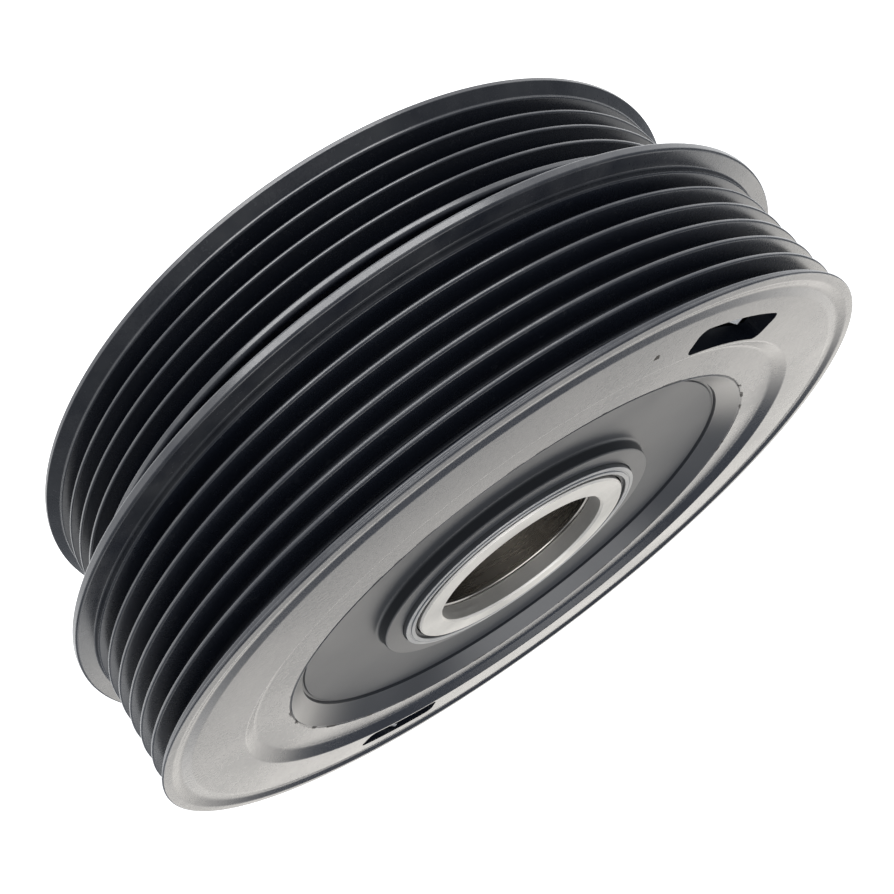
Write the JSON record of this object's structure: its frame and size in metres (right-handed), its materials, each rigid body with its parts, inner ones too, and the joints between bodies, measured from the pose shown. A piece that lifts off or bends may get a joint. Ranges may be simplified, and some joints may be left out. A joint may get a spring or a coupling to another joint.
{
  "type": "electromagnetic clutch",
  "caption": "Electromagnetic clutch with a front and a rear ribbed-belt pulley on one fixed bore, joined by a sprung armature when the coil is powered.",
  "frame": {"origin": "on the shaft axis, at the rear face of the mounting plate and rear pulley rim", "axes": "+Z along the shaft axis, out of the open face with the bowl; +X through the middle of one face window"},
  "size_m": [0.1464, 0.1464, 0.049],
  "materials": {
    "black_coat": "semi-gloss black electro-coat",
    "ground_steel": "ground bearing steel",
    "ball_steel": "polished",
    "plain_steel": "turned low-carbon steel",
    "zinc_plate": "zinc plated",
    "spring_steel": "blued spring steel",
    "copper_wire": "enamelled copper wire",
    "contact_brass": "tinned brass",
    "nylon": "glass-filled nylon",
    "cage_nylon": "natural nylon",
    "resin": "cast epoxy",
    "rubber": "nitrile rubber",
    "lining": "pressed friction compound"
  },
  "bodies": {
    "stator": {"coil_plate": "zinc_plate", "plate_screws": "zinc_plate", "coil_shell": "plain_steel", "coil_bobbin": "nylon", "coil_winding": "copper_wire", "coil_potting": "resin", "terminal_socket": "nylon", "terminal_pins": "contact_brass", "rear_inner_ring": "ground_steel", "neck_spacer": "plain_steel", "front_inner_ring": "ground_steel", "front_spacer_ring": "ground_steel"},
    "rear_drive": {"rotor": "plain_steel", "friction_lining": "lining", "rear_pulley": "black_coat", "rear_outer_ring": "ground_steel", "rear_bearing_seals": "rubber", "rear_snap_ring": "spring_steel"},
    "front_drive": {"front_pulley": "black_coat", "front_hub": "black_coat", "front_outer_ring": "ground_steel", "front_bearing_seals": "rubber", "front_snap_ring": "spring_steel", "dust_seal_case": "zinc_plate", "dust_seal_lip": "rubber", "spring_carrier": "zinc_plate", "carrier_rivets": "plain_steel", "bumpers": "rubber", "leaf_springs": "spring_steel"},
    "armature": {"armature_plate": "plain_steel", "armature_rivets": "plain_steel"},
    "front_rolling": {"front_balls": "ball_steel", "front_ball_cage": "cage_nylon"},
    "rear_rolling": {"rear_balls": "ball_steel", "rear_ball_cage": "cage_nylon"}
  },
  "joints": [
    {"name": "rear_pulley_spin", "type": "hinge", "parent": "stator", "child": "rear_drive", "pos_m": [0, 0, 0.0114], "axis": [0, 0, 1], "continuous": true},
    {"name": "front_pulley_spin", "type": "hinge", "parent": "stator", "child": "front_drive", "pos_m": [0, 0, 0.0339], "axis": [0, 0, 1], "continuous": true},
    {"name": "armature_pull", "type": "slide", "parent": "front_drive", "child": "armature", "axis": [0, 0, -1], "range_m": [0, 0.0005], "stiffness_N_per_m": 20000, "springref_m": -0.0003, "deforming": ["leaf_springs"]},
    {"name": "rear_balls_roll", "type": "hinge", "parent": "stator", "child": "rear_rolling", "pos_m": [0, 0, 0.0114], "axis": [0, 0, 1], "continuous": true},
    {"name": "front_balls_roll", "type": "hinge", "parent": "stator", "child": "front_rolling", "pos_m": [0, 0, 0.0339], "axis": [0, 0, 1], "continuous": true}
  ],
  "couplings": [
    {"joint": "rear_balls_roll", "follows": "rear_pulley_spin", "ratio": 0.556},
    {"joint": "front_balls_roll", "follows": "front_pulley_spin", "ratio": 0.556}
  ]
}
